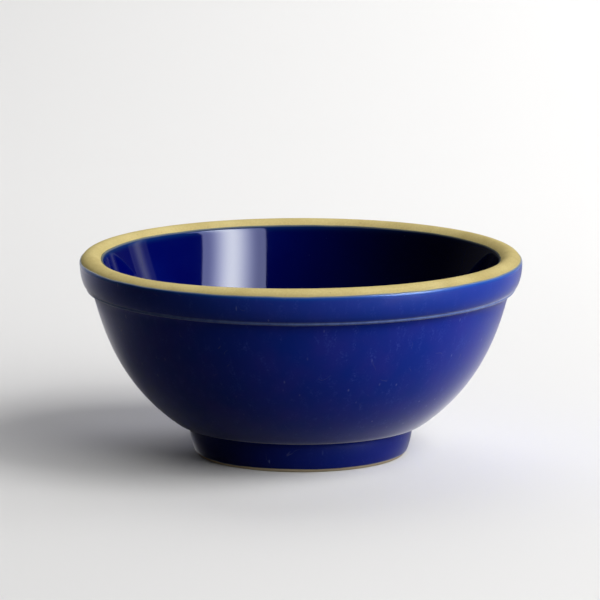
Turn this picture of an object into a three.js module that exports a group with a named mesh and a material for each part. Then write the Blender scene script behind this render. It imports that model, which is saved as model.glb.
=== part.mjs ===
// Cereal bowl: one fired stoneware body that carries three separate fired-on glaze coats.
// Millimetres, +Z up, origin at the centre of the foot's base.
import * as THREE from 'three';

// Overall sizes
const bowlDiameter = 150; // over the glazed collar
const bowlHeight = 68.8; // foot base to lip crest

// Lip, and the rolled collar below it
const lipThickness = 7.1; // bare clay, across the lip
const lipRise = 2.9; // lip crest above the collar's widest line
const collarHeight = 11.4; // lip crest to the collar's underside
const collarRoll = 3; // how far the collar's side rolls in towards its underside
const collarLedge = 1.1; // underside between the roll and the wall
const collarFillet = 1.1;

// Wall: leaves the foot at a low angle and reaches the collar nearly upright
const wallThickness = 5.4;
const wallFootAngle = 34.5; // degrees above level
const wallFootReach = 20.1; // pull of that direction on the curve
const wallFootRounding = 1.8;
const wallTopAngle = 77;
const wallTopReach = 20.8;

// Foot ring, and the well inside it
const footHeight = 10.9;
const footTopRadius = 38.7;
const footFlare = 3.5; // the foot is this much narrower at its base
const footLedge = 2.6; // level step from the foot out to the wall
const footFillet = 0.8;
const footRingWidth = 5.6; // across the ring at its base
const footEdgeRounding = 1;
const wellDepth = 5.5;
const wellDraft = 1; // the well is this much wider at its mouth than at its ceiling
const wellFillet = 1.2;
const floorThickness = 6.5; // well ceiling to bowl floor, on the axis

// Glaze coats
const glazeThickness = 0.35;
const bondGap = 0.05; // between coat and clay
const outerGlazeRise = 0.7; // glaze line above the collar's widest line, outside
const innerGlazeRise = 0.9; // the same inside the lip
const footBareBand = 0.35; // bare clay above the foot's rounded edge, outside
const wellBareBand = 1; // the same inside the foot ring

// Facets: round the bowl, and along each stretch of its profile
const turnSteps = 48;
const wallSteps = 8;
const collarSteps = 5;
const lipSteps = 6;
const floorSteps = 4;
const filletSteps = 2;

// Sizes that follow from those above
const coat = glazeThickness + bondGap;
const collarRadius = bowlDiameter / 2 - coat;
const collarUnderside = bowlHeight - collarHeight;
const collarFootRadius = collarRadius - collarRoll;
const lipLine = bowlHeight - lipRise;
const lipHalf = lipThickness / 2;
const lipCentreRadius = collarRadius - lipHalf;
const footBaseRadius = footTopRadius - footFlare;
const wellMouthRadius = footBaseRadius - footRingWidth;
const wellRadius = wellMouthRadius - wellDraft;
const floorHeight = wellDepth + floorThickness;
const samePoint = bondGap / 10; // profile points closer than this are one point

const point = (r, z) => new THREE.Vector2(r, z);
const along = (from, to, reach) => to.clone().sub(from).setLength(reach).add(from);
const slope = (degrees) => {
  const angle = THREE.MathUtils.degToRad(degrees);
  return point(Math.cos(angle), Math.sin(angle));
};

// Part of the lip's ellipse, from one angle to another
function lipArc(from, to, steps) {
  return new THREE.EllipseCurve(lipCentreRadius, lipLine, lipHalf, lipRise, from, to).getPoints(steps);
}

// A corner rounded by a curve that touches both sides at the given reach
function roundedCorner(before, corner, after, reach) {
  const start = along(corner, before, reach);
  const end = along(corner, after, reach);
  return new THREE.QuadraticBezierCurve(start, corner, end).getPoints(filletSteps);
}

// A profile moved sideways, to the right of its direction of travel; points on the axis stay on it
function offsetProfile(profile, distance) {
  const normals = profile.slice(1).map((end, index) => {
    const step = end.clone().sub(profile[index]).normalize();
    return point(step.y, -step.x);
  });
  return profile.map((corner, index) => {
    const before = normals[Math.max(index - 1, 0)];
    const after = normals[Math.min(index, normals.length - 1)];
    const mitre = before.clone().add(after).divideScalar(1 + before.dot(after));
    const moved = corner.clone().addScaledVector(mitre, distance);
    return corner.x === 0 ? point(0, moved.y) : moved;
  });
}

// One stretch of profile after another, with shared end points kept once
function joinProfiles(...stretches) {
  return stretches.flat().filter((corner, index, all) => {
    return index === 0 || corner.distanceTo(all[index - 1]) > samePoint;
  });
}

// The clay's profile starts on the axis under the bowl, runs out and up the outside,
// over the lip, and down the inside to the axis again
const wellCentre = point(0, wellDepth);
const wellCorner = point(wellRadius, wellDepth);
const wellMouth = point(wellMouthRadius, 0);
const footCorner = point(footBaseRadius, 0);
const footTop = point(footTopRadius, footHeight);
const wallFoot = point(footTopRadius + footLedge, footHeight);
const wallTop = point(collarFootRadius - collarLedge, collarUnderside);
const collarFoot = point(collarFootRadius, collarUnderside);

// Under the bowl: well, then the foot ring's bare base
const wellEdge = along(wellMouth, wellCorner, footEdgeRounding + wellBareBand);
const footEdge = along(footCorner, footTop, footEdgeRounding + footBareBand);
const wellProfile = joinProfiles(
  [wellCentre],
  roundedCorner(wellCentre, wellCorner, wellMouth, wellFillet),
  [wellEdge],
);
const footBaseProfile = joinProfiles(
  roundedCorner(wellCorner, wellMouth, footCorner, footEdgeRounding),
  roundedCorner(wellMouth, footCorner, footTop, footEdgeRounding),
);

// Outside: foot, wall and collar up to the outer glaze line
const wallCurve = new THREE.CubicBezierCurve(
  wallFoot,
  wallFoot.clone().addScaledVector(slope(wallFootAngle), wallFootReach),
  wallTop.clone().addScaledVector(slope(wallTopAngle), -wallTopReach),
  wallTop,
);
const wallProfile = wallCurve.getSpacedPoints(wallSteps);
const wallBody = wallProfile.slice(1, -1);
const creaseReach = Math.min(footFillet, footLedge / 2);
const turnReach = Math.min(wallFootRounding, footLedge - creaseReach);
const collarCurve = new THREE.EllipseCurve(
  collarFootRadius, lipLine, collarRoll, lipLine - collarUnderside, -Math.PI / 2, 0,
);
const outerLipAngle = Math.asin(outerGlazeRise / lipRise);
const innerLipAngle = Math.PI - Math.asin(innerGlazeRise / lipRise);
const outerProfile = joinProfiles(
  [footEdge],
  roundedCorner(footEdge, footTop, wallFoot, creaseReach),
  roundedCorner(footTop, wallFoot, wallBody[0], turnReach),
  wallBody,
  roundedCorner(wallBody.at(-1), wallTop, collarFoot, Math.min(collarFillet, collarLedge)),
  collarCurve.getPoints(collarSteps),
  lipArc(0, outerLipAngle, 1),
);
const lipProfile = lipArc(outerLipAngle, innerLipAngle, lipSteps);

// Inside: parallel to the outer wall, turned up into the lip and in over a dished floor
const innerWall = offsetProfile(wallProfile, -wallThickness).reverse();
const innerWallTop = innerWall[0];
const innerWallFoot = innerWall.at(-1);
const innerLip = point(collarRadius - lipThickness, lipLine);
const lipTurn = (innerLip.y - innerWallTop.y) / 3;
const lipCurve = new THREE.CubicBezierCurve(
  innerLip,
  innerLip.clone().add(point(0, -lipTurn)),
  innerWallTop.clone().addScaledVector(slope(wallTopAngle), lipTurn),
  innerWallTop,
);
const floorSlope = slope(wallFootAngle);
const floorReach = (innerWallFoot.y - floorHeight) / floorSlope.y;
const floorCurve = new THREE.QuadraticBezierCurve(
  innerWallFoot,
  innerWallFoot.clone().addScaledVector(floorSlope, -floorReach),
  point(0, floorHeight),
);
const innerProfile = joinProfiles(
  lipArc(innerLipAngle, Math.PI, 1),
  lipCurve.getPoints(filletSteps),
  innerWall,
  floorCurve.getPoints(floorSteps),
);

// A coat follows its stretch of clay, a bond gap away from it, and reaches the axis at one end
// or closes on itself
function coatProfile(stretch) {
  const back = offsetProfile(stretch, bondGap).reverse();
  const face = offsetProfile(stretch, coat);
  if (stretch[0].x === 0) {
    return [...face, ...back];
  }
  if (stretch.at(-1).x === 0) {
    return [...back, ...face];
  }
  return [...face, ...back, face[0]];
}

function turnedPiece(name, profile, material) {
  const geometry = new THREE.LatheGeometry(profile, turnSteps);
  geometry.rotateX(Math.PI / 2);
  const piece = new THREE.Mesh(geometry, material);
  piece.name = name;
  return piece;
}

const bareClay = new THREE.MeshStandardMaterial({ color: 0xc8b684, roughness: 0.75, metalness: 0 });
const satinGlaze = new THREE.MeshStandardMaterial({ color: 0x14225c, roughness: 0.4, metalness: 0 });
const glossGlaze = new THREE.MeshStandardMaterial({ color: 0x08144e, roughness: 0.1, metalness: 0 });

const clayProfile = joinProfiles(
  wellProfile, footBaseProfile, outerProfile, lipProfile, innerProfile,
);

const bowl = new THREE.Group();
bowl.add(turnedPiece('clay_body', clayProfile, bareClay));
bowl.add(turnedPiece('outer_glaze', coatProfile(outerProfile), satinGlaze));
bowl.add(turnedPiece('inner_glaze', coatProfile(innerProfile), glossGlaze));
bowl.add(turnedPiece('foot_well_glaze', coatProfile(wellProfile), satinGlaze));

export default bowl;
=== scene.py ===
# Cereal bowl: turned stoneware with a bare lip, satin glaze outside and gloss glaze inside.
import math

import bpy
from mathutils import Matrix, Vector


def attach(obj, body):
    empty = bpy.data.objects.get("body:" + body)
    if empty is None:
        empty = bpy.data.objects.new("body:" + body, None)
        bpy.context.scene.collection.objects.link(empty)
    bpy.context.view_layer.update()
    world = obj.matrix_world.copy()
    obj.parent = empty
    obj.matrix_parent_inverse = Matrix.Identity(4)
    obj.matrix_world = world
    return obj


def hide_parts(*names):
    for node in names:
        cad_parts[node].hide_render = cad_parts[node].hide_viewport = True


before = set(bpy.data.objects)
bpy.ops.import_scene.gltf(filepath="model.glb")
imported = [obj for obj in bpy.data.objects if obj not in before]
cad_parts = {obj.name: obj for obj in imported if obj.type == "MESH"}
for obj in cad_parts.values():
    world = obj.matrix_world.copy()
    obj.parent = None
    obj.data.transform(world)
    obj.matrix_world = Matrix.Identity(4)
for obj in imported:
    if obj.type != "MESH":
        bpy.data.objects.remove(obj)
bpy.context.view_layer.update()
print("frame loaded:", ", ".join(sorted(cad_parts)))

mm = 0.001


# Small helpers for node trees

def addNode(tree, kind, inputs=None, **settings):
    made = tree.nodes.new(kind)
    for key, value in settings.items():
        setattr(made, key, value)
    for key, value in (inputs or {}).items():
        socket = made.inputs[key]
        if isinstance(value, bpy.types.NodeSocket):
            tree.links.new(value, socket)
        else:
            socket.default_value = value
    return made


def calc(tree, operation, first, second=0.0):
    return addNode(tree, "ShaderNodeMath", {0: first, 1: second}, operation=operation).outputs[0]


def product(tree, first, *others):
    for other in others:
        first = calc(tree, "MULTIPLY", first, other)
    return first


def remap(tree, value, fromLow, fromHigh, toLow=0.0, toHigh=1.0, smooth=False):
    kind = "SMOOTHSTEP" if smooth else "LINEAR"
    sizes = {"Value": value, "From Min": fromLow, "From Max": fromHigh, "To Min": toLow, "To Max": toHigh}
    return addNode(tree, "ShaderNodeMapRange", sizes, interpolation_type=kind).outputs["Result"]


def blendColours(tree, share, first, second):  # 6, 7 and 2 are the mix node's colour sockets
    mix = addNode(tree, "ShaderNodeMix", {0: share, 6: first, 7: second}, data_type="RGBA")
    return mix.outputs[2]


def noise(tree, place, scale, detail, seed):
    sizes = {"Vector": place, "W": seed, "Scale": scale, "Detail": detail}
    return addNode(tree, "ShaderNodeTexNoise", sizes, noise_dimensions="4D").outputs[0]


def partsOf(tree, vector):
    return addNode(tree, "ShaderNodeSeparateXYZ", {0: vector}).outputs


# Camera: the photograph's height and long lens

cameraView = {
    "lens": 336.3,
    "distance": 1.9,
    "elevation": 10.12,
    "aim": Vector((-0.0003, 0.0, 0.05231)),
}


def makeCamera(view):
    data = bpy.data.cameras.new("viewCamera")
    data.lens = view["lens"]
    camera = bpy.data.objects.new("viewCamera", data)
    rise = math.radians(view["elevation"])
    back = Vector((0.0, -math.cos(rise), math.sin(rise)))
    camera.location = view["aim"] + back * view["distance"]
    camera.rotation_euler = (-back).to_track_quat("-Z", "Y").to_euler()
    bpy.context.scene.collection.objects.link(camera)
    bpy.context.scene.camera = camera


makeCamera(cameraView)
print("camera placed")


# The turned profile, in millimetres: radius from the axis, height above the table

bowlForm = {
    "diameter": 150.0, "height": 68.79, "coat": 0.4,
    "lipThickness": 7.1, "lipRise": 2.9, "lipFlat": 0.5,
    "rimInset": 0.35, "rimAngle": 73.0, "rimPull": 0.4,
    "collarHeight": 11.4, "collarRoll": 3.0, "collarLedge": 1.1, "collarCove": 3.5,
    "beadAngle": 74.0, "beadDrop": 0.75, "beadRounding": 0.35,
    "wallThickness": 5.4, "wallFootAngle": 34.5, "wallFootReach": 20.1,
    "wallFootRounding": 1.8, "wallFootClear": 2.2, "wallTopAngle": 77.0, "wallTopReach": 20.8,
    "innerTopReach": 16.0, "innerFootReach": 20.0, "innerFootInset": 0.4,
    "footHeight": 10.9, "footTopRadius": 37.6, "footFlare": 2.4, "footLedge": 3.7, "footFillet": 1.8,
    "footRingWidth": 5.6, "footEdgeRounding": 0.7, "footSwell": 1.0,
    "wellDepth": 5.5, "wellDraft": 1.0, "wellFillet": 1.2, "floorThickness": 6.5,
    "outerGlazeRise": 0.85, "innerGlazeRise": 1.15, "footBareBand": 0.45, "wellBareBand": 1.0,
}
profileSteps = {
    "foot": 16, "wall": 56, "collar": 20, "edge": 4, "lip": 24, "floor": 28, "fillet": 6, "feather": 8,
}
sameSpot = 0.01  # points closer than this are one point


def along(start, end, reach):
    return start + (end - start).normalized() * reach


def slope(degrees):
    angle = math.radians(degrees)
    return Vector((math.cos(angle), math.sin(angle)))


def bezier(controls, steps):
    points = []
    for step in range(steps + 1):
        level = list(controls)
        while len(level) > 1:
            level = [a.lerp(b, step / steps) for a, b in zip(level, level[1:])]
        points.append(level[0])
    return points


def ellipse(centre, across, up, start, end, steps):
    angles = [start + (end - start) * step / steps for step in range(steps + 1)]
    return [centre + Vector((across * math.cos(a), up * math.sin(a))) for a in angles]


def roundedCorner(before, corner, after, reach):
    ends = along(corner, before, reach), along(corner, after, reach)
    return bezier([ends[0], corner, ends[1]], profileSteps["fillet"])


def joined(*stretches):
    points = []
    for point in (p for stretch in stretches for p in stretch):
        if not points or (point - points[-1]).length > sameSpot:
            points.append(point)
    return points


def sideways(points):  # unit vectors to the right of the direction of travel
    turned = []
    for index in range(len(points)):
        step = points[min(index + 1, len(points) - 1)] - points[max(index - 1, 0)]
        turned.append(Vector((step.y, -step.x)).normalized())
    return turned


def turnedStretches(form):
    steps = profileSteps
    collarRadius = form["diameter"] / 2 - form["coat"]
    underside = form["height"] - form["collarHeight"]
    lipLine = form["height"] - form["lipRise"]
    lipHalf = form["lipThickness"] / 2
    lipCentre = Vector((collarRadius - lipHalf, lipLine))
    footBase = form["footTopRadius"] - form["footFlare"]
    wellMouthRadius = footBase - form["footRingWidth"]
    floorHeight = form["wellDepth"] + form["floorThickness"]

    wellCentre = Vector((0, form["wellDepth"]))
    wellCorner = Vector((wellMouthRadius - form["wellDraft"], form["wellDepth"]))
    wellMouth = Vector((wellMouthRadius, 0))
    footCorner = Vector((footBase, 0))
    footTop = Vector((form["footTopRadius"], form["footHeight"]))
    wallFoot = footTop + Vector((form["footLedge"], 0))
    collarFoot = Vector((collarRadius - form["collarRoll"], underside))
    wallTop = collarFoot - Vector((form["collarLedge"], 0))

    # foot well and the bare band under the foot
    edge = form["footEdgeRounding"]
    footSide = footTop - footCorner
    footOut = Vector((footSide.y, -footSide.x)).normalized()
    footSwell = footCorner + footSide / 2 + footOut * form["footSwell"]
    wellEdge = along(wellMouth, wellCorner, edge + form["wellBareBand"])
    footEdge = along(footCorner, footSwell, edge + form["footBareBand"])
    well = joined(
        bezier([wellCentre, along(wellCorner, wellCentre, form["wellFillet"])], steps["floor"]),
        roundedCorner(wellCentre, wellCorner, wellMouth, form["wellFillet"]),
        [wellEdge],
    )
    footBand = joined(
        roundedCorner(wellCorner, wellMouth, footCorner, edge),
        roundedCorner(wellMouth, footCorner, footSwell, edge),
    )

    # outside: foot, wall, cove, bead and collar, up to the glaze line on the lip
    wall = bezier([
        wallFoot,
        wallFoot + slope(form["wallFootAngle"]) * form["wallFootReach"],
        wallTop - slope(form["wallTopAngle"]) * form["wallTopReach"],
        wallTop,
    ], steps["wall"])
    wallBody = [
        p for p in wall
        if form["wallFootClear"] < (p - wallFoot).length and form["collarCove"] < (p - wallTop).length
    ]
    outerLip = math.asin(form["outerGlazeRise"] / form["lipRise"])
    lipArc = (lipCentre, lipHalf, form["lipRise"])
    collarArc = (Vector((collarFoot.x, lipLine)), form["collarRoll"], lipLine - underside)
    beadAngle = -math.radians(form["beadAngle"])
    beadTop = ellipse(*collarArc, beadAngle, 0, 1)[0]
    beadFoot = beadTop - Vector((0, form["beadDrop"]))
    beadSeat = Vector((collarFoot.x, beadFoot.y))
    beadInner = beadFoot - Vector((form["beadRounding"], 0))
    outer = joined(
        bezier([footEdge, footSwell, along(footTop, footSwell, form["footFillet"])], steps["foot"]),
        roundedCorner(footSwell, footTop, wallFoot, form["footFillet"]),
        roundedCorner(footTop, wallFoot, wallBody[0], form["wallFootRounding"]),
        wallBody,
        bezier([wallBody[-1], wallTop, beadSeat, beadInner], steps["collar"]),
        roundedCorner(beadSeat, beadFoot, beadTop, form["beadRounding"]),
        ellipse(*collarArc, beadAngle, 0, steps["collar"]),
        ellipse(*lipArc, 0, outerLip, steps["edge"]),
    )

    # bare lip, between the two glaze lines
    crest = lipCentre + Vector((0, form["lipRise"]))
    rim = Vector((collarRadius - form["lipThickness"] - form["rimInset"], lipLine))
    rimSlope = slope(form["rimAngle"])
    overLip = bezier([
        crest,
        crest - Vector((lipHalf * form["lipFlat"], 0)),
        rim + rimSlope * form["lipRise"] * form["rimPull"],
        rim,
    ], steps["lip"])
    glazeLine = lipLine + form["innerGlazeRise"]
    lip = joined(
        ellipse(*lipArc, outerLip, math.pi / 2, steps["lip"] // 2),
        [p for p in overLip if p.y > glazeLine],
    )

    # inside: down the wall and over the floor to the axis
    floorSlope = slope(form["wallFootAngle"])
    floorUp = Vector((-floorSlope.y, floorSlope.x))
    innerFoot = wallFoot + floorUp * (form["wallThickness"] + form["innerFootInset"])
    floorReach = (innerFoot.y - floorHeight) / floorSlope.y
    innerSide = joined(
        [p for p in overLip if p.y <= glazeLine],
        bezier([
            rim,
            rim - rimSlope * form["innerTopReach"],
            innerFoot + floorSlope * form["innerFootReach"],
            innerFoot,
        ], steps["wall"]),
        bezier([innerFoot, innerFoot - floorSlope * floorReach, Vector((0, floorHeight))], steps["floor"]),
    )
    return {"well": well, "footBand": footBand, "outer": outer, "lip": lip, "inner": innerSide}


stretches = turnedStretches(bowlForm)
print("profile points:", {name: len(points) for name, points in stretches.items()})


# Lathe: a profile of edges, carried round the axis on a grid

latheSizes = {"driftSpan": (0.25, 0.75), "waverSeed": 3.0, "stillRadius": 20 * mm, "weld": 0.002 * mm}


def latheTree(fixed):
    tree = bpy.data.node_groups.new("bowlLathe", "GeometryNodeTree")
    numbers = (
        "Waver", "Waver Scale", "Ripple", "Ripple Scale", "Edge Drift", "Edge Scale",
        "Dip", "Dip Turn", "Dip Width", "Dip Foot", "Dip Top", "Seed",
    )
    sockets = [
        ("Profile", "NodeSocketGeometry"), ("Turn Steps", "NodeSocketInt"),
        *((name, "NodeSocketFloat") for name in numbers),
        ("Finish", "NodeSocketMaterial"),
    ]
    for name, kind in sockets:
        tree.interface.new_socket(name=name, in_out="INPUT", socket_type=kind)
    tree.interface.new_socket(name="Turned", in_out="OUTPUT", socket_type="NodeSocketGeometry")
    given = tree.nodes.new("NodeGroupInput").outputs

    # one column of the grid for each step round the axis, one row for each profile point
    rows = addNode(tree, "GeometryNodeAttributeDomainSize", {"Geometry": given["Profile"]}, component="MESH")
    rowCount = rows.outputs["Point Count"]
    columns = calc(tree, "ADD", given["Turn Steps"], 1.0)
    grid = addNode(tree, "GeometryNodeMeshGrid", {"Vertices X": columns, "Vertices Y": rowCount})
    index = tree.nodes.new("GeometryNodeInputIndex").outputs[0]
    row, column = (
        addNode(tree, "FunctionNodeIntegerMath", {0: index, 1: rowCount}, operation=operation).outputs[0]
        for operation in ("MODULO", "DIVIDE")
    )
    angle = product(tree, calc(tree, "DIVIDE", column, given["Turn Steps"]), math.tau)

    def fromProfile(value, kind):
        sample = addNode(tree, "GeometryNodeSampleIndex", data_type=kind)
        tree.links.new(given["Profile"], sample.inputs["Geometry"])
        tree.links.new(value, sample.inputs["Value"])
        tree.links.new(row, sample.inputs["Index"])
        return sample.outputs[0]

    def named(name, kind):
        stored = addNode(tree, "GeometryNodeInputNamedAttribute", {"Name": name}, data_type=kind)
        return stored.outputs["Attribute"]

    def aroundAxis(vector):
        inputs = {"Vector": vector, "Angle": angle}
        return addNode(tree, "ShaderNodeVectorRotate", inputs, rotation_type="Z_AXIS").outputs[0]

    def scaled(vector, factor):
        inputs = {0: vector, "Scale": factor}
        return addNode(tree, "ShaderNodeVectorMath", inputs, operation="SCALE").outputs[0]

    def summed(first, second):
        return addNode(tree, "ShaderNodeVectorMath", {0: first, 1: second}, operation="ADD").outputs[0]

    def direction(axis):
        return addNode(tree, "ShaderNodeCombineXYZ", {axis: 1.0}).outputs[0]

    # glaze edges drift a little along the clay
    flat = fromProfile(tree.nodes.new("GeometryNodeInputPosition").outputs[0], "FLOAT_VECTOR")
    plain = aroundAxis(flat)
    drift = noise(tree, plain, given["Edge Scale"], detail=2.0, seed=given["Seed"])
    drift = product(tree, remap(tree, drift, *fixed["driftSpan"], -1.0, 1.0), given["Edge Drift"])
    drifted = summed(flat, scaled(fromProfile(named("slide", "FLOAT_VECTOR"), "FLOAT_VECTOR"), drift))

    # hand-turned waver and a finer ripple pull the surface in, but not at the axis
    spot = partsOf(tree, flat)
    free = remap(tree, spot["X"], 0.0, fixed["stillRadius"], smooth=True)
    waver = noise(tree, plain, given["Waver Scale"], detail=0.0, seed=fixed["waverSeed"])
    ripple = noise(tree, plain, given["Ripple Scale"], detail=1.0, seed=given["Seed"])
    pull = calc(tree, "ADD", product(tree, waver, given["Waver"]), product(tree, ripple, given["Ripple"]))
    inward = product(tree, pull, free, -1.0)
    place = summed(aroundAxis(drifted), scaled(aroundAxis(direction("X")), inward))

    # the lip dips slightly on one side
    away = calc(tree, "DIVIDE", calc(tree, "SUBTRACT", angle, given["Dip Turn"]), given["Dip Width"])
    lobe = calc(tree, "EXPONENT", product(tree, away, away, -1.0))
    rise = remap(tree, spot["Z"], given["Dip Foot"], given["Dip Top"], smooth=True)
    place = summed(place, scaled(direction("Z"), product(tree, lobe, rise, given["Dip"], -1.0)))

    geometry = addNode(tree, "GeometryNodeSetPosition", {"Geometry": grid.outputs["Mesh"], "Position": place})
    for name in ("thin", "crease"):
        value = fromProfile(named(name, "FLOAT"), "FLOAT")
        inputs = {"Geometry": geometry.outputs[0], "Name": name, "Value": value}
        geometry = addNode(tree, "GeometryNodeStoreNamedAttribute", inputs, data_type="FLOAT", domain="POINT")
    for kind, inputs in (
        ("GeometryNodeMergeByDistance", {"Distance": fixed["weld"]}),
        ("GeometryNodeSetShadeSmooth", {}),
        ("GeometryNodeRealizeInstances", {}),
        ("GeometryNodeSetMaterial", {"Material": given["Finish"]}),
    ):
        geometry = addNode(tree, kind, {"Geometry": geometry.outputs[0], **inputs})
    out = tree.nodes.new("NodeGroupOutput")
    tree.links.new(geometry.outputs[0], out.inputs["Turned"])
    return tree


lathe = latheTree(latheSizes)


def turnPiece(name, profile, sizes, finish):
    mesh = bpy.data.meshes.new(name)
    spots = [(point.x * mm, 0.0, point.y * mm) for point in profile["points"]]
    mesh.from_pydata(spots, [(i, i + 1) for i in range(len(spots) - 1)], [])
    for key in ("thin", "crease"):
        if key in profile:
            mesh.attributes.new(key, "FLOAT", "POINT").data.foreach_set("value", profile[key])
    if "slide" in profile:
        flat = [value for step in profile["slide"] for value in (step.x, 0.0, step.y)]
        mesh.attributes.new("slide", "FLOAT_VECTOR", "POINT").data.foreach_set("vector", flat)
    piece = bpy.data.objects.new(name, mesh)
    bpy.context.scene.collection.objects.link(piece)

    turning = piece.modifiers.new("turning", "NODES")
    turning.node_group = lathe
    values = {
        "Turn Steps": sizes["turnSteps"],
        "Waver": sizes["waver"] * mm, "Waver Scale": sizes["waverScale"],
        "Ripple": sizes["ripple"] * mm, "Ripple Scale": sizes["rippleScale"],
        "Edge Drift": sizes["edgeDrift"] * mm, "Edge Scale": sizes["edgeScale"],
        "Dip": sizes["dip"] * mm, "Dip Turn": math.radians(sizes["dipTurn"]),
        "Dip Width": math.radians(sizes["dipWidth"]),
        "Dip Foot": sizes["dipFoot"] * mm, "Dip Top": sizes["dipTop"] * mm,
        "Seed": sizes["seed"], "Finish": finish,
    }
    for socket in lathe.interface.items_tree:
        if socket.in_out == "INPUT" and socket.name in values:
            turning[socket.identifier] = values[socket.name]
    evaluated = piece.evaluated_get(bpy.context.evaluated_depsgraph_get())
    solid = bpy.data.meshes.new_from_object(evaluated)
    piece.modifiers.remove(turning)
    piece.data = solid
    solid.name = name
    print(name, "turned:", len(solid.vertices), "vertices,", len(solid.polygons), "faces")
    return piece


def fitPiece(piece, node):
    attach(piece, "root")
    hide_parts(node)


# A glaze coat over one stretch of clay: it swells from a feathered edge to its full thickness

def coatProfile(stretch, sizes):
    distances = [0.0]
    for start, end in zip(stretch, stretch[1:]):
        distances.append(distances[-1] + (end - start).length)
    total = distances[-1]
    openStart = stretch[0].x > 0
    openEnd = stretch[-1].x > 0

    # marks along the stretch, finer at a feathered edge
    feather = sizes["feather"]
    clear = feather * sizes["featherClear"]
    steps = profileSteps["feather"]
    fine = [feather * (step / steps) ** 2 for step in range(steps + 1)]
    marks = [d for d in distances if (not openStart or d > clear) and (not openEnd or d < total - clear)]
    if openStart:
        marks = fine + marks
    if openEnd:
        marks = marks + [total - d for d in reversed(fine)]
    marks = sorted(set(marks))

    def pointAt(distance):
        for index in range(len(distances) - 1):
            if distance <= distances[index + 1]:
                break
        span = distances[index + 1] - distances[index]
        return stretch[index].lerp(stretch[index + 1], (distance - distances[index]) / span)

    line = [pointAt(mark) for mark in marks]
    sides = sideways(line)
    for end in (0, -1):
        if stretch[end].x == 0:
            sides[end] = Vector((0, math.copysign(1, sides[end].y)))

    face, back, thin, slide = [], [], [], []
    for mark, point, side in zip(marks, line, sides):
        bare = min(mark if openStart else total, total - mark if openEnd else total)
        swell = math.sqrt(1 - (1 - min(bare / feather, 1)) ** 2)
        face.append(point + side * (sizes["thickness"] * swell - sizes["bond"] * (1 - swell)))
        back.append(point - side * sizes["bond"])
        thin.append(max(0, 1 - bare / sizes["thinReach"]))
        slide.append(Vector((-side.y, side.x)) * max(0, 1 - bare / sizes["driftReach"]))
    crease = [0.0] * len(line)
    for spot, width, share in sizes["creases"]:
        crease = [max(c, share * math.exp(-((p - spot).length / width) ** 2)) for c, p in zip(crease, line)]

    # a coat with two bare edges is a closed ring of profile, the others end on the axis
    order = list(range(len(line)))
    if openStart and openEnd:
        points, order = face + back[::-1] + face[:1], order + order[::-1] + order[:1]
    elif openEnd:
        points, order = face + back[::-1], order + order[::-1]
    else:
        points, order = back[::-1] + face, order[::-1] + order
    stored = {"thin": thin, "crease": crease, "slide": slide}
    return {"points": points, **{key: [values[i] for i in order] for key, values in stored.items()}}


# Finishes

def startFinish(name):
    material = bpy.data.materials.new(name)
    material.use_nodes = True
    tree = material.node_tree
    place = tree.nodes.new("ShaderNodeTexCoord").outputs["Object"]
    return material, tree, tree.nodes["Principled BSDF"], place


def finishSurface(tree, shader, colour, rough, height, look):
    tree.links.new(colour, shader.inputs["Base Color"])
    tree.links.new(rough, shader.inputs["Roughness"])
    bump = addNode(tree, "ShaderNodeBump", {
        "Height": height, "Strength": look["bump"], "Distance": look["bumpHeight"],
    })
    tree.links.new(bump.outputs[0], shader.inputs["Normal"])
    for socket, value in look["shine"].items():
        shader.inputs[socket].default_value = value


def scatteredDots(tree, place, scale, size, chosen):
    cells = addNode(tree, "ShaderNodeTexVoronoi", {"Vector": place, "Scale": scale})
    dot = remap(tree, cells.outputs["Distance"], *size, smooth=True)
    draw = addNode(tree, "ShaderNodeSeparateColor", {0: cells.outputs["Color"]}).outputs[0]
    return product(tree, dot, remap(tree, draw, *chosen))


def storedValue(tree, name):
    return addNode(tree, "ShaderNodeAttribute", attribute_name=name).outputs["Fac"]


bareClay = {
    "buff": (0.625, 0.518, 0.222, 1), "shade": (0.505, 0.402, 0.154, 1), "shadeSpan": (0.36, 0.64),
    "toneScale": 90, "toneShare": 0.6, "grainScale": 1500, "grainShare": 0.4,
    "worn": (0.72, 0.58, 0.38, 1), "wornBand": (3 * mm, 1.5 * mm),
    "fleck": (0.23, 0.15, 0.06, 1), "fleckScale": 620, "fleckSize": (0.18, 0.08),
    "fleckChosen": (0.86, 0.9), "fleckShare": 0.5,
    "rough": (0.62, 0.8), "roughSpan": (0.3, 0.7), "bump": 0.25, "bumpHeight": 0.05 * mm,
    "shine": {"Specular IOR Level": 0.25},
}


def bareClayFinish(look):
    material, tree, shader, place = startFinish("bareClay")
    tone = noise(tree, place, look["toneScale"], detail=4.0, seed=1.0)
    grain = noise(tree, place, look["grainScale"], detail=3.0, seed=2.0)
    tint = calc(tree, "ADD", product(tree, tone, look["toneShare"]), product(tree, grain, look["grainShare"]))
    colour = blendColours(tree, remap(tree, tint, *look["shadeSpan"]), look["buff"], look["shade"])
    # paler where the foot has worn
    height = partsOf(tree, place)["Z"]
    colour = blendColours(tree, remap(tree, height, *look["wornBand"]), colour, look["worn"])
    flecks = scatteredDots(tree, place, look["fleckScale"], look["fleckSize"], look["fleckChosen"])
    colour = blendColours(tree, product(tree, flecks, look["fleckShare"]), colour, look["fleck"])
    rough = remap(tree, grain, *look["roughSpan"], *look["rough"])
    finishSurface(tree, shader, colour, rough, grain, look)
    return material


glazeEdge = {"seep": (0.26, 0.28, 0.21, 1), "seepSpan": (0.66, 1.0), "thinPower": 1.5}


def thinnedEdge(tree, colour, thin, look):
    colour = blendColours(tree, calc(tree, "POWER", thin, look["thinPower"]), colour, look["thinGlaze"])
    return blendColours(tree, remap(tree, thin, *look["seepSpan"]), colour, look["seep"])


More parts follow.
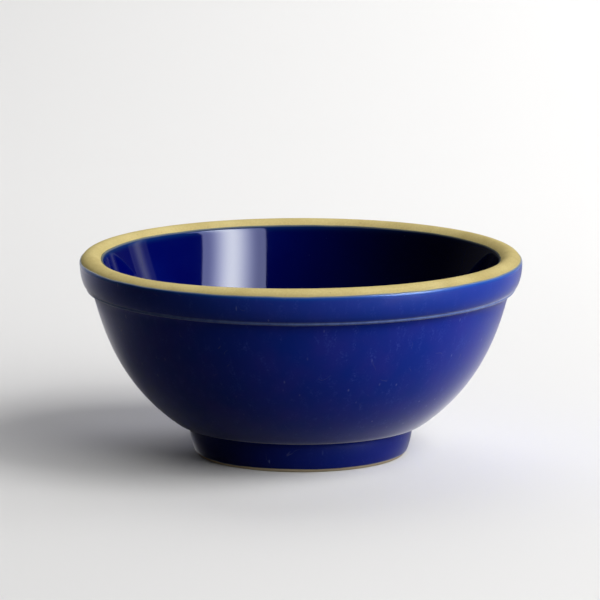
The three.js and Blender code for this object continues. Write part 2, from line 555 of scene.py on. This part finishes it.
satinGlaze = {
    **glazeEdge, "thinGlaze": (0.010, 0.120, 0.48, 1), "thinBand": (10 * mm, 40 * mm),
    "deep": (0.003, 0.025, 0.31, 1), "violet": (0.014, 0.026, 0.315, 1),
    "cloudScale": 70, "cloudSpan": (0.38, 0.62),
    "mist": (0.035, 0.065, 0.44, 1), "mistShare": 0.85,
    "streakScale": 420, "streakStretch": (1.0, 1.0, 0.3), "streakSpan": (0.52, 0.72),
    "speckScale": 1500, "speckSpan": (0.45, 0.7),
    "collarGlaze": (0.022, 0.065, 0.40, 1), "collarBand": (56.8 * mm, 58.4 * mm), "collarShare": 0.3,
    # painted shade: the glaze darkens towards the table on the foot and in its well
    "footShadeGlaze": (0.0003, 0.005, 0.11, 1), "footShadeBand": (11.2 * mm, 9.6 * mm), "footShadeShare": 0.7,
    "dot": (0.16, 0.19, 0.50, 1), "dotScale": 380, "dotSize": (0.16, 0.05),
    "dotChosen": (0.70, 1.0), "dotShare": 0.5,
    "scuff": (0.10, 0.11, 0.26, 1), "scuffScale": 130, "scuffLevel": 0.5, "scuffLine": (0.006, 0.0),
    "patchScale": 221, "patchSpan": (0.66, 0.72), "scuffShare": 0.5, "scuffRough": 0.1,
    # pale crease line: glaze breaking thin under the collar, with painted reflection of the floor; at the
    # wall's foot only painted reflection
    "breakAndReflection": (0.16, 0.235, 0.50, 1), "breakAndReflectionStreaks": (0.3, 0.6), "breakAndReflectionShares": (0.6, 1.0),
    "rough": (0.31, 0.36), "roughSpan": (0.3, 0.7), "edgeGloss": 0.1, "edgeGlossSpan": (0.0, 0.4),
    "bump": 0.1, "bumpHeight": 0.02 * mm,
    "shine": {
        "Specular IOR Level": 0.04,
        "Sheen Weight": 0.8, "Sheen Roughness": 0.29, "Sheen Tint": (1.0, 0.98, 0.98, 1),
    },
}


def satinGlazeFinish(look):
    material, tree, shader, place = startFinish("satinGlaze")
    upright = addNode(tree, "ShaderNodeMapping", {"Vector": place, "Scale": look["streakStretch"]}).outputs[0]
    cloud = noise(tree, place, look["cloudScale"], detail=4.0, seed=5.0)
    streak = noise(tree, upright, look["streakScale"], detail=3.0, seed=6.0)
    speck = noise(tree, place, look["speckScale"], detail=1.0, seed=7.0)
    colour = blendColours(tree, remap(tree, cloud, *look["cloudSpan"]), look["deep"], look["violet"])
    mist = product(tree, remap(tree, streak, *look["streakSpan"]), remap(tree, speck, *look["speckSpan"]))
    colour = blendColours(tree, product(tree, mist, look["mistShare"]), colour, look["mist"])

    # a lighter collar, and painted shade on the foot: darker glaze below the wall's foot, where the overhang
    # shades it
    height = partsOf(tree, place)["Z"]
    for area in ("collar", "footShade"):
        share = remap(tree, height, *look[area + "Band"], 0.0, look[area + "Share"])
        colour = blendColours(tree, share, colour, look[area + "Glaze"])

    # scattered pale specks
    dots = scatteredDots(tree, upright, look["dotScale"], look["dotSize"], look["dotChosen"])
    colour = blendColours(tree, product(tree, dots, look["dotShare"]), colour, look["dot"])

    # short pale scuffs: thin contour lines of a noise, kept in a few patches
    wander = noise(tree, place, look["scuffScale"], detail=1.0, seed=8.0)
    off = calc(tree, "ABSOLUTE", calc(tree, "SUBTRACT", wander, look["scuffLevel"]))
    patch = noise(tree, place, look["patchScale"], detail=0.0, seed=9.0)
    scuff = product(tree, remap(tree, off, *look["scuffLine"]), remap(tree, patch, *look["patchSpan"]))
    colour = blendColours(tree, product(tree, scuff, look["scuffShare"]), colour, look["scuff"])

    # the coat thins at its upper edge; along its creases a pale line is painted, partly glaze breaking thin
    # and partly painted reflection of the pale floor
    thin = product(tree, storedValue(tree, "thin"), remap(tree, height, *look["thinBand"]))
    colour = thinnedEdge(tree, colour, thin, look)
    paleLineShare = remap(tree, streak, *look["breakAndReflectionStreaks"], *look["breakAndReflectionShares"])
    colour = blendColours(tree, product(tree, storedValue(tree, "crease"), paleLineShare), colour, look["breakAndReflection"])

    rough = remap(tree, cloud, *look["roughSpan"], *look["rough"])
    rough = calc(tree, "ADD", rough, product(tree, scuff, look["scuffRough"]))
    gloss = remap(tree, thin, *look["edgeGlossSpan"], 0.0, look["edgeGloss"])
    rough = calc(tree, "SUBTRACT", rough, gloss)
    finishSurface(tree, shader, colour, rough, calc(tree, "ADD", speck, streak), look)
    return material


glossGlaze = {
    **glazeEdge, "thinGlaze": (0.004, 0.035, 0.13, 1),
    "deep": (0.0, 0.001, 0.070, 1), "light": (0.0, 0.002, 0.080, 1),
    "cloudScale": 60, "cloudSpan": (0.36, 0.64),
    "pitScale": 330, "pitSize": (0.16, 0.06), "pitChosen": (0.9, 0.94), "pitRough": 0.4,
    "rough": (0.04, 0.06), "roughSpan": (0.3, 0.7), "bump": 0.2, "bumpHeight": 0.05 * mm,
    "shine": {},
}


def glossGlazeFinish(look):
    material, tree, shader, place = startFinish("glossGlaze")
    cloud = noise(tree, place, look["cloudScale"], detail=3.0, seed=11.0)
    colour = blendColours(tree, remap(tree, cloud, *look["cloudSpan"]), look["deep"], look["light"])
    colour = thinnedEdge(tree, colour, storedValue(tree, "thin"), look)
    # a few pinholes in the skin
    pit = scatteredDots(tree, place, look["pitScale"], look["pitSize"], look["pitChosen"])
    rough = remap(tree, cloud, *look["roughSpan"], *look["rough"])
    rough = calc(tree, "ADD", rough, product(tree, pit, look["pitRough"]))
    finishSurface(tree, shader, colour, rough, product(tree, pit, -1.0), look)
    return material


bareClaySurface = bareClayFinish(bareClay)
satinSurface = satinGlazeFinish(satinGlaze)
glossSurface = glossGlazeFinish(glossGlaze)
print("finishes made")


# Clay body

clayBody = {
    "turnSteps": 240, "waver": 0.12, "waverScale": 9.0, "ripple": 0.0, "rippleScale": 60.0,
    "edgeDrift": 0.0, "edgeScale": 60.0, "seed": 1.0,
    "dip": 0.75, "dipTurn": 222.0, "dipWidth": 32.0, "dipFoot": 65.0, "dipTop": 68.8,
}
clayLine = joined(*(stretches[name] for name in ("well", "footBand", "outer", "lip", "inner")))
clay = turnPiece("clayBody", {"points": clayLine}, clayBody, bareClaySurface)
fitPiece(clay, "clay_body")
clay.visible_glossy = False  # the photograph's gloss shows no lip


# Outer coat, from above the foot's edge to the lip

outerCoat = {
    **clayBody, "seed": 2.0, "ripple": 0.02, "edgeDrift": 0.2,
    "thickness": 0.4, "bond": 0.03, "feather": 0.9, "featherClear": 1.1,
    "thinReach": 1.8, "driftReach": 2.5,
    "creases": [  # place on the profile, width, share: under the collar (glaze break and painted reflection), and at the wall's foot (painted reflection)
        (Vector((72.4, 57.35)), 0.6, 0.95), (Vector((42.6, 11.4)), 0.9, 0.35),
    ],
}
outer = turnPiece("outerGlaze", coatProfile(stretches["outer"], outerCoat), outerCoat, satinSurface)
fitPiece(outer, "outer_glaze")


# Inner coat, from the lip down over the floor

innerCoat = {
    **outerCoat, "seed": 4.0, "ripple": 0.03, "edgeDrift": 0.15, "thinReach": 2.6, "creases": [],
}
inner = turnPiece("innerGlaze", coatProfile(stretches["inner"], innerCoat), innerCoat, glossSurface)
fitPiece(inner, "inner_glaze")


# Coat inside the foot ring

wellCoat = {**innerCoat, "seed": 6.0, "feather": 0.7, "edgeDrift": 0.25}
well = turnPiece("footWellGlaze", coatProfile(stretches["well"], wellCoat), wellCoat, satinSurface)
fitPiece(well, "foot_well_glaze")
print("pieces placed")


# Studio: pale floor, soft daylight mostly from the right, windows seen in the glazes, dim surroundings

studio = {
    "floorSize": 14.0, "floorTone": 0.765, "floorTint": (1.0, 0.992, 0.982), "toneLimits": (0.5, 1.0),
    # painted light: floorRight and floorBack lighten the floor to the right and towards the back
    "floorRight": 0.7, "floorBack": 0.095, "backEdge": (-0.2, 0.6),
    "floorShine": {"Roughness": 0.9, "Specular IOR Level": 0.1},
    "roomColour": (0.05, 0.05, 0.05, 1),
    "roomDim": (0.008, 0.008, 0.010, 1), "roomPale": (0.035, 0.035, 0.040, 1), "roomTurn": (0.1, 0.6),
}
sunDistance = 2.0
daylight = {  # lit piece, azimuth to the camera's right, elevation, angular size, light on a facing surface
    "outerSide": ("outer", 61, 22, 50, 0.75),
    "outerHigh": ("outer", 68, 52, 30, 0.38),
    "outerBack": ("outer", 108, 12, 50, 0.52),
    "outerFill": ("outer", 203, 32, 44, 0.9),
    "innerSide": ("inner", 78, 22, 36, 1.20),
    "innerHigh": ("inner", 72, 50, 24, 0.44),
    "claySide": ("clay", 76, 28, 50, 0.38),
    "clayTop": ("clay", 60, 76, 60, 0.79),
    "clayFront": ("clay", 25, 8, 50, 0.30),
    "floorFront": ("floor", 40, 30, 40, 0.58),
    "floorHigh": ("floor", 70, 47, 32, 0.54),
    "floorSide": ("floor", 110, 22, 30, 0.23),
    "floorBack": ("floor", 173, 38, 70, 0.41),
    "floorTop": ("floor", 0, 85, 110, 0.04),
}
skyTints = (0.55, 0.60, 1.0, 1), (0.86, 0.90, 1.0, 1)  # at a panel's sides and in its middle
paleTints = (0.90, 0.95, 0.85, 1), (0.95, 1.0, 0.75, 1)
panelMargin = 0.0001  # dark share of the lit part at each side
panels = {  # shares of the width at the lower and upper edge bound the lit part; its radiance has a crest
    "window": {
        "azimuth": 44, "distance": 1.5, "low": 0.5, "high": 1.25, "width": 2.4,
        "rightEdge": (0.207, 0.306), "leftEdge": (0.653, 0.994), "crest": 0.51, "spread": 0.42,
        "sides": 4.8, "middle": 12.5, "tints": skyTints, "lit": None,
    },
    "farWindow": {
        "azimuth": 117, "distance": 1.5, "low": 0.05, "high": 0.75, "width": 0.48,
        "rightEdge": (0.0, 0.0), "leftEdge": (1.0, 1.0), "crest": 0.5, "spread": 0.36,
        "sides": 0.3, "middle": 0.7, "tints": skyTints, "lit": None,
    },
    "edgeWindow": {  # seen in the outer glaze alone
        "azimuth": 59, "distance": 1.5, "low": 0.0, "high": 1.25, "width": 1.35,
        "rightEdge": (0.0, 0.0), "leftEdge": (1.0, 1.0), "crest": 0.5, "spread": 0.48,
        "sides": 8.0, "middle": 125.0, "tints": paleTints, "lit": "outer",
    },
}


def towards(azimuth, elevation):
    a, e = math.radians(azimuth), math.radians(elevation)
    return Vector((math.sin(a) * math.cos(e), -math.cos(a) * math.cos(e), math.sin(e)))


def makeFloor(settings):
    half = settings["floorSize"] / 2
    corners = [(-half, -half, 0), (half, -half, 0), (half, half, 0), (-half, half, 0)]
    mesh = bpy.data.meshes.new("floor")
    mesh.from_pydata(corners, [], [(0, 1, 2, 3)])
    floor = bpy.data.objects.new("floor", mesh)
    bpy.context.scene.collection.objects.link(floor)

    # painted light: a pale sheet made lighter to the right and towards the back
    material, tree, shader, place = startFinish("paleFloor")
    place = partsOf(tree, place)
    front, back = settings["floorTone"], settings["floorTone"] + settings["floorBack"]
    tone = remap(tree, place["Y"], *settings["backEdge"], front, back, smooth=True)
    tone = calc(tree, "ADD", tone, product(tree, place["X"], settings["floorRight"]))
    for operation, limit in zip(("MAXIMUM", "MINIMUM"), settings["toneLimits"]):
        tone = calc(tree, operation, tone, limit)
    tint = {0: settings["floorTint"], "Scale": tone}
    sheet = addNode(tree, "ShaderNodeVectorMath", tint, operation="SCALE").outputs[0]
    # pale where it is seen, also in a gloss, and dim for the soft light it throws back
    path = tree.nodes.new("ShaderNodeLightPath").outputs
    seen = path["Is Camera Ray"]
    for ray in ("Is Glossy Ray", "Is Transmission Ray"):
        seen = calc(tree, "MAXIMUM", seen, path[ray])
    colour = blendColours(tree, seen, settings["roomColour"], sheet)
    tree.links.new(colour, shader.inputs["Base Color"])
    for socket, value in settings["floorShine"].items():
        shader.inputs[socket].default_value = value
    mesh.materials.append(material)
    return floor


def litGroup(name, pieces):
    group = bpy.data.collections.new(name)
    for piece in pieces:
        group.objects.link(piece)
    return group


def addLamp(name, data, place, facing):
    lamp = bpy.data.objects.new(name, data)
    lamp.location = place
    lamp.rotation_euler = facing.to_track_quat("Z", "Y").to_euler()
    lamp.visible_camera = False
    bpy.context.scene.collection.objects.link(lamp)
    return lamp


def makeDaylight(name, group, azimuth, elevation, angle, level):
    data = bpy.data.lights.new(name, "SUN")
    data.energy = level * math.pi
    data.angle = math.radians(angle)
    way = towards(azimuth, elevation)
    lamp = addLamp(name, data, way * sunDistance, way)
    lamp.visible_glossy = False
    lamp.light_linking.receiver_collection = group


def makePanel(name, form, group):
    low, high, width = form["low"], form["high"], form["width"]
    data = bpy.data.lights.new(name, "AREA")
    data.shape = "RECTANGLE"
    data.size, data.size_y = width, high - low
    data.energy = math.pi * width * (high - low)
    data.use_nodes = True
    tree = data.node_tree
    spot = partsOf(tree, tree.nodes.new("ShaderNodeNewGeometry").outputs["Parametric"])
    edges = [remap(tree, spot["Y"], 0.0, 1.0, *form[side]) for side in ("rightEdge", "leftEdge")]
    across = remap(tree, spot["X"], *edges)
    within = product(tree, across, calc(tree, "SUBTRACT", 1.0, across))
    inside = calc(tree, "GREATER_THAN", within, panelMargin)
    off = calc(tree, "ABSOLUTE", calc(tree, "SUBTRACT", across, form["crest"]))
    hump = remap(tree, off, form["spread"], 0.0, smooth=True)
    level = calc(tree, "ADD", product(tree, hump, form["middle"]), form["sides"])
    emission = tree.nodes["Emission"]
    tree.links.new(product(tree, level, inside), emission.inputs["Strength"])
    tree.links.new(blendColours(tree, hump, *form["tints"]), emission.inputs["Color"])
    way = towards(form["azimuth"], 0)
    lamp = addLamp(name, data, way * form["distance"] + Vector((0, 0, (low + high) / 2)), way)
    lamp.visible_diffuse = False
    if group is not None:
        lamp.light_linking.receiver_collection = group


def makeWorld(settings):
    world = bpy.data.worlds.new("studioSurround")
    bpy.context.scene.world = world
    world.use_nodes = True
    tree = world.node_tree
    depth = partsOf(tree, tree.nodes.new("ShaderNodeTexCoord").outputs["Generated"])["Y"]
    back = remap(tree, depth, *settings["roomTurn"], smooth=True)
    colour = blendColours(tree, back, settings["roomDim"], settings["roomPale"])
    tree.links.new(colour, tree.nodes["Background"].inputs["Color"])


floor = makeFloor(studio)
litPieces = {"outer": (outer, well), "inner": (inner,), "clay": (clay,), "floor": (floor,)}
groups = {name: litGroup(name + "Light", pieces) for name, pieces in litPieces.items()}
for name, (group, *sizes) in daylight.items():
    makeDaylight(name, groups[group], *sizes)
for name, form in panels.items():
    makePanel(name, form, groups.get(form["lit"]))
makeWorld(studio)
bpy.context.scene.view_settings.view_transform = "Standard"
print("studio lit")
